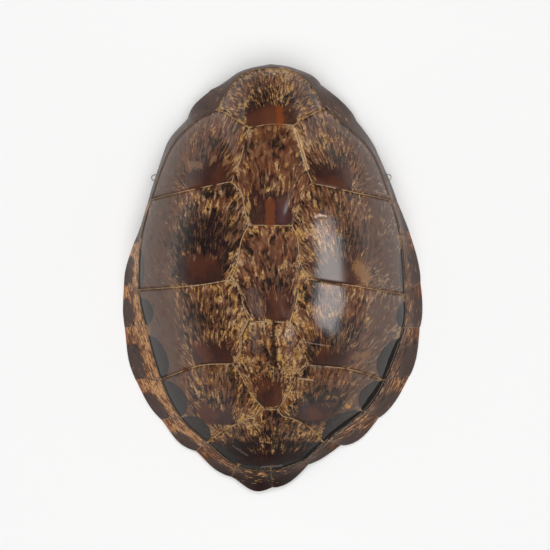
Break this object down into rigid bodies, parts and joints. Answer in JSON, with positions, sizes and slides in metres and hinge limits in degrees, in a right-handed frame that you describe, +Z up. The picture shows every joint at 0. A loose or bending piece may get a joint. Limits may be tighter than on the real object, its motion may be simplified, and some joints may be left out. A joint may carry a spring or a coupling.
{
  "type": "sea turtle shell",
  "caption": "Dried and varnished sea turtle carapace: a long domed shell of horn scutes over bone, hollow underneath, with small wire hanging loops at its sides.",
  "frame": {"origin": "centre of the bounding box, on the surface that the rim rests on", "axes": "+Y to the head end, +X to the shell's own right side, +Z up through the dome"},
  "size_m": [0.4232, 0.5941, 0.1673],
  "materials": {
    "varnished_horn": "dark brown horn with golden-tan streaks that fan out from each scute, under clear gloss varnish",
    "loop_wire": "thin tinned wire, slightly tarnished"
  },
  "bodies": {
    "root": {"carapace": "varnished_horn", "left_wire_loop": "loop_wire", "right_wire_loop": "loop_wire"}
  },
  "joints": []
}
